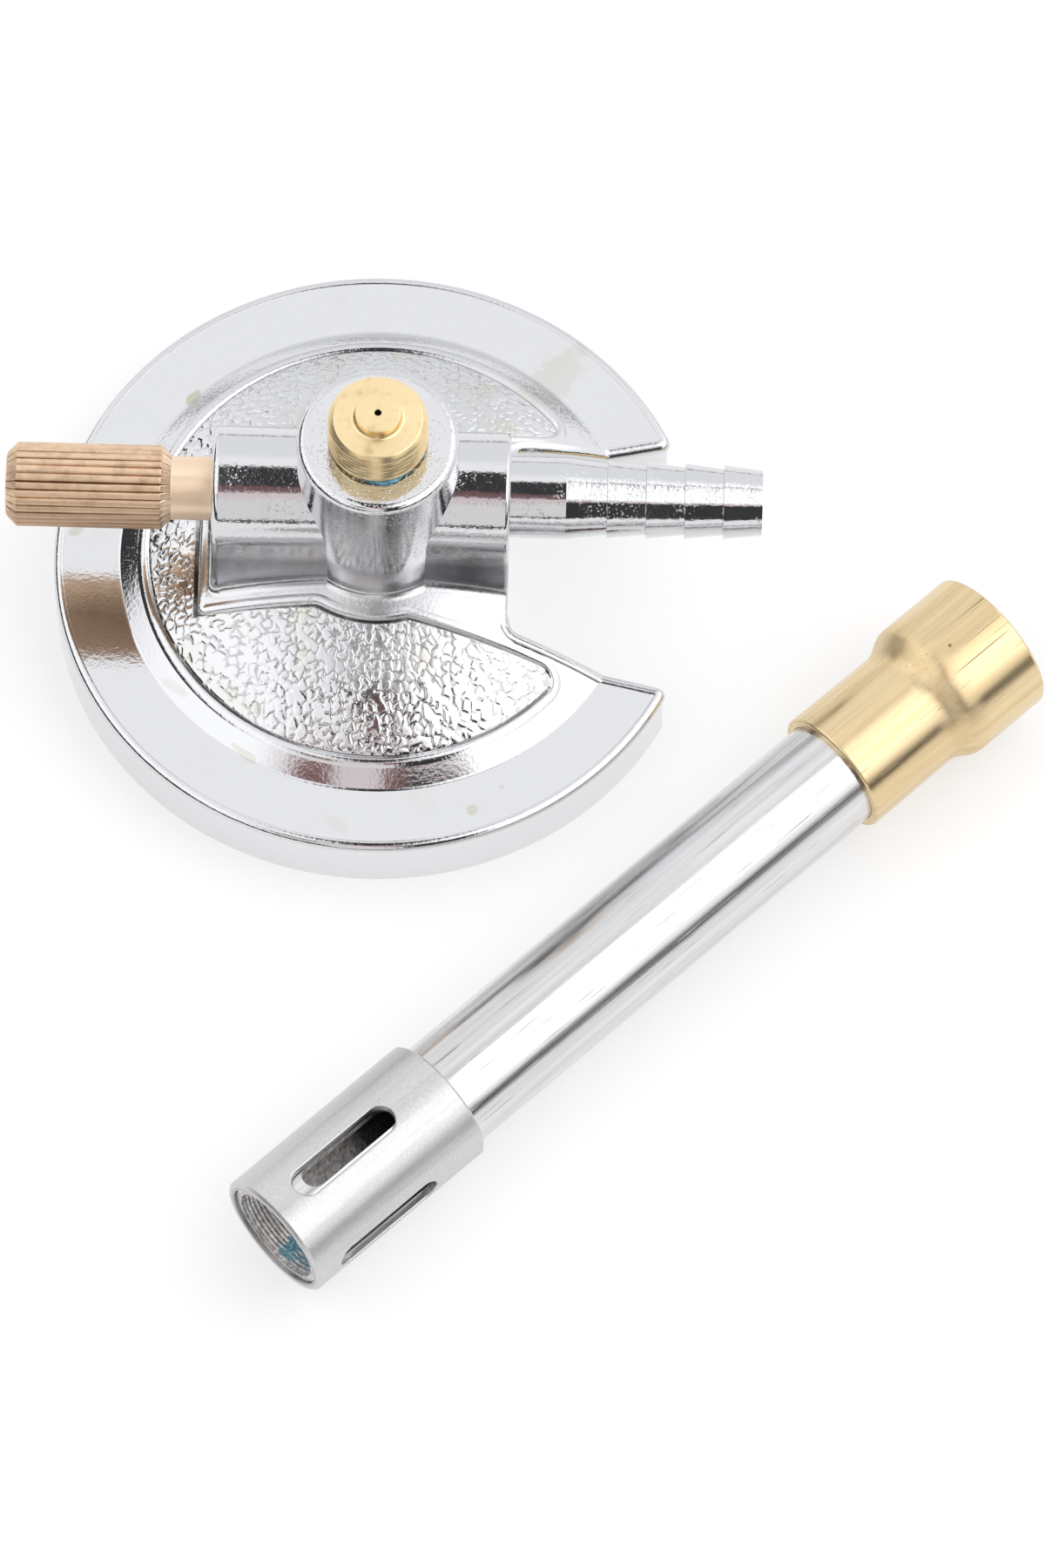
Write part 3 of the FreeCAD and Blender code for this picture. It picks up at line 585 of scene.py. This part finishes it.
tube_aluminium, tree, shader = metal("tube_aluminium", (0.83, 0.83, 0.85, 1), 0.2)
place = node(tree, "ShaderNodeTexCoord", {}).outputs["Object"]
broad = lined(tree, 0.05, 0.0011)
fine = lined(tree, 0.018, 0.00016, 2.0)
scratch = spread(tree, lined(tree, 0.011, 0.00022, 1.0), 0.68, 0.75)
tone = blended(tree, spread(tree, broad, 0.3, 0.7), (0.63, 0.625, 0.625, 1), (0.79, 0.785, 0.785, 1))
tone = blended(tree, scratch, tone, (0.36, 0.36, 0.36, 1))
bore = spread(tree, off_axis(tree), 0.0066, 0.0061)
stained = spread(tree, noise(tree, place, 1500.0, 4.0, 0.7), 0.3, 0.7)
dull = blended(tree, stained, (0.40, 0.38, 0.37, 1), (0.92, 0.90, 0.89, 1))
station = node(tree, "ShaderNodeSeparateXYZ", {"Vector": along_barrel(tree, 1.0, 1.0)}).outputs["X"]
# Painted shade: the bore is darkened from just past the ports to about 60 mm up, as shade inside the tube.
painted_bore_shade = band(tree, station, 0.0148, 0.0176, 0.040, 0.060)
dull = blended(tree, painted_bore_shade, dull, (0.11, 0.105, 0.10, 1))
tree.links.new(blended(tree, bore, tone, dull), shader.inputs["Base Color"])
sheen = spread(tree, broad, 0.3, 0.75, 0.13, 0.25)
tree.links.new(sums(tree, "ADD", sheen, sums(tree, "MULTIPLY", bore, 0.22)), shader.inputs["Roughness"])
grooves = bumped(tree, fine, 1.0e-5, strength=0.6)
scored = bumped(tree, sums(tree, "SUBTRACT", 1.0, scratch), 1.5e-5, strength=0.7, under=grooves)
coarse = bumped(tree, sums(tree, "MULTIPLY", stained, bore), 6e-5, under=scored)
tree.links.new(coarse, shader.inputs["Normal"])
solids["barrel_tube"].data.materials.clear()
solids["barrel_tube"].data.materials.append(tube_aluminium)


# The tube's foot is tapped to screw onto the jet. The thread is cut in the wall of the aluminium bore, runs
# inwards from just behind the mouth, and starts with shallow turns.

tap_root, tap_height, tap_start, tap_lead = 5.84, 0.16, 0.6, 0.6
tap_angle = np.linspace(0, 2 * math.pi, 144, endpoint=False)
tap_rows = np.linspace(4.70, 0.80, 84)
tap_outline = np.concatenate([
    np.array([(5.95, 0.45), (6.05, 0.60), (6.05, 4.80), (5.86, 4.80)]),
    np.stack([np.full_like(tap_rows, tap_root), tap_rows], -1),
])
tap_cut = np.where(tap_outline[:, 0] == tap_root, 1.0, 0.0)
tap_turns = thread(tap_outline[:, 1], tap_angle, pitch=0.5, low=-5.0, high=9.0, runout=0.1)
tap_crest = (1 - tap_turns) * np.clip((tap_outline[:, 1] - tap_start) / tap_lead, 0, 1)[None, :]
tap_radius = tap_outline[None, :, 0] - tap_height * tap_cut[None, :] * tap_crest
tap_station = np.broadcast_to(tap_outline[None, :, 1], tap_radius.shape)
points = turned(tap_radius, tap_station, tap_angle, barrel_foot * 1000, barrel_along, barrel_side)
settled(skin("foot_thread", points, True, True), tube_aluminium, "barrel")


# Some of the jet's blue sealant came away when the barrel was unscrewed. It clings in thin, cured flakes to
# the threads inside the tube's foot.

patch_angle = np.radians(np.linspace(200, 280, 150))
patch_station = np.linspace(0.9, 4.7, 70)
a, s = np.meshgrid(patch_angle, patch_station, indexing="ij")
patch_turn, patch_reach, patch_depth, patch_length, patch_back = 240, 16, 4.4, 0.80, 6.0
chance = np.random.default_rng(9)
ragged = sum(
    np.cos(chance.normal(0, 9) * a * 2 + chance.normal(0, 2.2) * s + chance.uniform(0, 6.28))
    for _ in range(24)
) / 3.5
middle = np.exp(-((np.degrees(a) - patch_turn) / patch_reach) ** 2 - ((s - patch_depth) / patch_length) ** 2)
film = np.clip(0.85 * middle + 0.22 * ragged - 0.18, -0.3, 0.5)
inner = 5.72 - 0.28 * film
at_sides = np.abs(a - a.mean()) > np.ptp(a) / 2 - 1e-9
at_ends = (s < patch_station[0] + 1e-9) | (s > patch_station[-1] - 1e-9)
inner = np.where(at_sides | at_ends, patch_back, inner)
outer = np.full_like(inner, patch_back)
radius = np.concatenate([outer, inner[:, ::-1]], 1)
station = np.concatenate([s, s[:, ::-1]], 1)
points = turned(radius, station, patch_angle, barrel_foot * 1000, barrel_along, barrel_side)
settled(skin("thread_residue", points, False, True), sealant, "barrel")


# The air sleeve is a short aluminium collar, free to turn on the tube's foot, with four long slots that open
# or close the tube's air ports. It is blasted to an even satin with faint streaks along it, a little smoother
# where it has rubbed and duller inside.

sleeve_satin, tree, shader = metal("sleeve_satin", (0.62, 0.62, 0.63, 1), 0.30)
place = node(tree, "ShaderNodeTexCoord", {}).outputs["Object"]
blast = noise(tree, place, 4200.0, 3.0, 0.7)
rubbed = lined(tree, 0.012, 0.0016)
tone = blended(tree, spread(tree, blast, 0.3, 0.72), (0.60, 0.595, 0.595, 1), (0.715, 0.71, 0.71, 1))
drawn = spread(tree, lined(tree, 0.016, 0.0006), 0.46, 0.76, 0.0, 0.35)
tone = blended(tree, drawn, tone, (0.47, 0.465, 0.465, 1))
inside = spread(tree, off_axis(tree), 0.0073, 0.0070)
tree.links.new(blended(tree, inside, tone, (0.50, 0.49, 0.48, 1)), shader.inputs["Base Color"])
tree.links.new(spread(tree, rubbed, 0.3, 0.75, 0.38, 0.33), shader.inputs["Roughness"])
tree.links.new(bumped(tree, blast, 2.4e-5), shader.inputs["Normal"])
solids["air_sleeve"].data.materials.clear()
solids["air_sleeve"].data.materials.append(sleeve_satin)


# The flame head is a spun brass ferrule pressed over the tube's top: a close lower collar with a turned lip,
# a smooth, duller flare and a wider cup. Fine lines run along it from the drawing of the brass, with one
# long scratch and one small dent.

head_brass, tree, shader = metal("head_brass", (0.80, 0.60, 0.32, 1), 0.28)
broad = lined(tree, 0.03, 0.0014)
fine = lined(tree, 0.02, 0.00014, 2.0)
scratch = spread(tree, lined(tree, 0.012, 0.00020, 1.0), 0.69, 0.75, 0.0, 0.7)
tone = blended(tree, spread(tree, broad, 0.3, 0.7), (0.72, 0.545, 0.305, 1), (0.83, 0.665, 0.41, 1))
laid = along_barrel(tree, 1.0, 1.0)
for spot, length, width in (
    ((0.1082, -0.00319, 0.00842), 0.0044, 0.00007),
    ((0.10575, -0.00024, 0.0090), 0.00022, 0.00022),
):
    dent = {"Vector": laid, "Location": spot, "Scale": (length, width, width)}
    dent = node(tree, "ShaderNodeMapping", dent, vector_type="TEXTURE").outputs[0]
    away = node(tree, "ShaderNodeVectorMath", {0: dent}, operation="LENGTH").outputs["Value"]
    scratch = sums(tree, "MAXIMUM", scratch, spread(tree, away, 1.2, 0.8))
tree.links.new(blended(tree, scratch, tone, (0.30, 0.20, 0.09, 1)), shader.inputs["Base Color"])
station = node(tree, "ShaderNodeSeparateXYZ", {"Vector": laid}).outputs["X"]
flare = band(tree, station, 0.0985, 0.1005, 0.1035, 0.1055)
sheen = spread(tree, broad, 0.3, 0.75, 0.20, 0.28)
tree.links.new(sums(tree, "ADD", sheen, sums(tree, "MULTIPLY", flare, 0.15)), shader.inputs["Roughness"])
grooves = bumped(tree, fine, 8e-6, strength=0.7)
scored = bumped(tree, sums(tree, "SUBTRACT", 1.0, scratch), 1.5e-5, strength=0.6, under=grooves)
tree.links.new(scored, shader.inputs["Normal"])
solids["burner_head"].data.materials.clear()
solids["burner_head"].data.materials.append(head_brass)


# The burner lies on a white table in a light tent. The floor shows white to the eye and in the metal, and
# keeps the soft shadow under each piece.

table = bpy.data.meshes.new("table")
table.from_pydata([(-6, -6, 0), (6, -6, 0), (6, 6, 0), (-6, 6, 0)], [], [(0, 1, 2, 3)])
table_top = bpy.data.objects.new("table", table)
bpy.context.scene.collection.objects.link(table_top)
paper = bpy.data.materials.new("white_table")
paper.use_nodes = True
tree = paper.node_tree
tree.nodes.clear()
path = node(tree, "ShaderNodeLightPath", {})
seen = sums(tree, "MAXIMUM", path.outputs["Is Camera Ray"], path.outputs["Is Glossy Ray"])
seen = sums(tree, "MAXIMUM", seen, path.outputs["Is Transmission Ray"])
diffuse = node(tree, "ShaderNodeBsdfDiffuse", {"Color": (0.42, 0.42, 0.42, 1)})
glow = {"Color": (1, 1, 1, 1), "Strength": sums(tree, "MULTIPLY", seen, 0.58)}
glow = node(tree, "ShaderNodeEmission", glow)
both = node(tree, "ShaderNodeAddShader", {0: diffuse.outputs[0], 1: glow.outputs[0]})
node(tree, "ShaderNodeOutputMaterial", {"Surface": both.outputs[0]})
table.materials.append(paper)


# The tent is pale all round, brightest at its two lit sides, warmer in front and cooler at the back. A dark
# slit is high in front with a pink patch low on each side, a dark screen stands low in front on the right, a
# grey bar bends overhead, and a dark gap, tallest at the left, runs round where the walls meet the table.

tent = bpy.data.worlds.new("light_tent")
bpy.context.scene.world = tent
tent.use_nodes = True
tree = tent.node_tree
way = node(tree, "ShaderNodeTexCoord", {}).outputs["Generated"]
axes = node(tree, "ShaderNodeSeparateXYZ", {"Vector": way}).outputs
degrees = 180 / math.pi
climb = sums(tree, "MULTIPLY", sums(tree, "ARCSINE", axes["Z"], 0.0), degrees)
forward = sums(tree, "MULTIPLY", axes["Y"], -1.0)
over = sums(tree, "MULTIPLY", sums(tree, "ARCTAN2", axes["Z"], forward), degrees)
aside = sums(tree, "ABSOLUTE", axes["X"], 0.0)
middle = spread(tree, aside, 0.55, 0.30)
front = sums(tree, "MULTIPLY", spread(tree, over, 60.0, 54.0), middle)
back = sums(tree, "MULTIPLY", spread(tree, over, 118.0, 132.0), middle)
slit = sums(tree, "MULTIPLY", band(tree, over, 54.0, 59.0, 103.0, 107.0), spread(tree, aside, 0.15, 0.05))
pink_left = band(tree, axes["X"], -0.38, -0.34, -0.21, -0.17)
pink_right = band(tree, axes["X"], 0.03, 0.06, 0.13, 0.17)
pink = sums(tree, "ADD", pink_left, pink_right)
pink = sums(tree, "MULTIPLY", pink, band(tree, over, 40.0, 43.0, 51.5, 54.0))
screen = band(tree, axes["X"], 0.12, 0.15, 0.39, 0.47)
screen = sums(tree, "MULTIPLY", spread(tree, over, 51.5, 49.5), screen)
brim = band(tree, over, 109.2, 110.1, 111.9, 112.8)
brim = sums(tree, "MULTIPLY", brim, band(tree, axes["X"], 0.18, 0.22, 0.36, 0.42))
post = band(tree, axes["X"], 0.129, 0.147, 0.183, 0.201)
post = sums(tree, "MULTIPLY", post, band(tree, over, 93.0, 98.0, 110.0, 114.0))
brim = sums(tree, "MAXIMUM", brim, post)
lit = sums(tree, "MAXIMUM", spread(tree, climb, 72.0, 66.0), spread(tree, over, 113.0, 109.0))
lit = sums(tree, "MULTIPLY", spread(tree, climb, 24.0, 34.0), lit)
right_light = sums(tree, "MULTIPLY", spread(tree, axes["X"], 0.18, 0.26), lit)
left_light = sums(tree, "MULTIPLY", spread(tree, axes["X"], -0.36, -0.48), lit)
gap_top = spread(tree, forward, -0.2, 0.5, 1.2, 4.0)
gap_right = sums(tree, "MULTIPLY", spread(tree, axes["X"], 0.25, 0.45), spread(tree, forward, 0.1, 0.4))
gap_left = spread(tree, axes["X"], -0.60, -0.75, 0.0, 21.0)
gap_front = spread(tree, forward, 0.05, 0.30, 0.0, 14.0)
gap_front = sums(tree, "MULTIPLY", spread(tree, axes["X"], -0.10, -0.25), gap_front)
gap_top = sums(tree, "ADD", gap_top, sums(tree, "MULTIPLY", gap_right, 12.5))
gap_top = sums(tree, "ADD", gap_top, sums(tree, "MAXIMUM", gap_left, gap_front))
gap = spread(tree, sums(tree, "SUBTRACT", gap_top, climb), -1.5, 0.5)
wall = blended(tree, right_light, (1.13, 1.13, 1.14, 1), (1.80, 1.80, 1.80, 1))
wall = blended(tree, left_light, wall, (1.36, 1.36, 1.37, 1))
warm = blended(tree, spread(tree, over, 42.0, 48.0), (0.88, 0.86, 0.86, 1), (0.85, 0.76, 0.77, 1))
wall = blended(tree, front, wall, warm)
wall = blended(tree, back, wall, (0.97, 0.98, 1.01, 1))
wall = blended(tree, pink, wall, (0.27, 0.15, 0.14, 1))
shade = blended(tree, spread(tree, over, 65.0, 71.0), (0.22, 0.125, 0.13, 1), (0.05, 0.05, 0.052, 1))
wall = blended(tree, slit, wall, shade)
wall = blended(tree, screen, wall, (0.05, 0.05, 0.05, 1))
wall = blended(tree, brim, wall, (0.25, 0.25, 0.25, 1))
wall = blended(tree, gap, wall, (0.05, 0.05, 0.05, 1))
tree.links.new(wall, tree.nodes["Background"].inputs["Color"])
tree.nodes["Background"].inputs["Strength"].default_value = 1.0


# One broad, round, soft lamp stands high on the right and gives the pieces a little shape. It doesn't show in
# the metal, which mirrors the tent, the table and the other pieces.

lamp = bpy.data.lights.new("soft_lamp", "AREA")
lamp.shape = "DISK"
lamp.size = 1.0
lamp.energy = 1.0
lamp_stand = bpy.data.objects.new("soft_lamp", lamp)
lamp_stand.visible_glossy = False
lamp_stand.location = (1.0, -0.1, 1.15)
lamp_way = Vector((0.02, -0.03, 0)) - lamp_stand.location
lamp_stand.rotation_euler = lamp_way.to_track_quat("-Z", "Y").to_euler()
bpy.context.scene.collection.objects.link(lamp_stand)


# The camera looks down steeply from the front through a long lens, turned a little on its axis. The picture
# keeps plain display colours.

aim = Vector((0.0177, -0.02508, 0.0))
distance = 1.35
height_angle = math.radians(63.28)
away = Vector((0, -math.cos(height_angle), math.sin(height_angle)))
lens = bpy.data.cameras.new("camera")
lens.lens = 264.5
lens.sensor_width = 36.0
lens.clip_start = 0.05
camera = bpy.data.objects.new("camera", lens)
camera.location = aim + distance * away
level = (-away).to_track_quat("-Z", "Y").to_matrix()
tilt = Matrix.Rotation(math.radians(1.5), 3, "Z")
camera.rotation_euler = (level @ tilt).to_euler()
bpy.context.scene.collection.objects.link(camera)
bpy.context.scene.camera = camera
bpy.context.scene.view_settings.view_transform = "Standard"
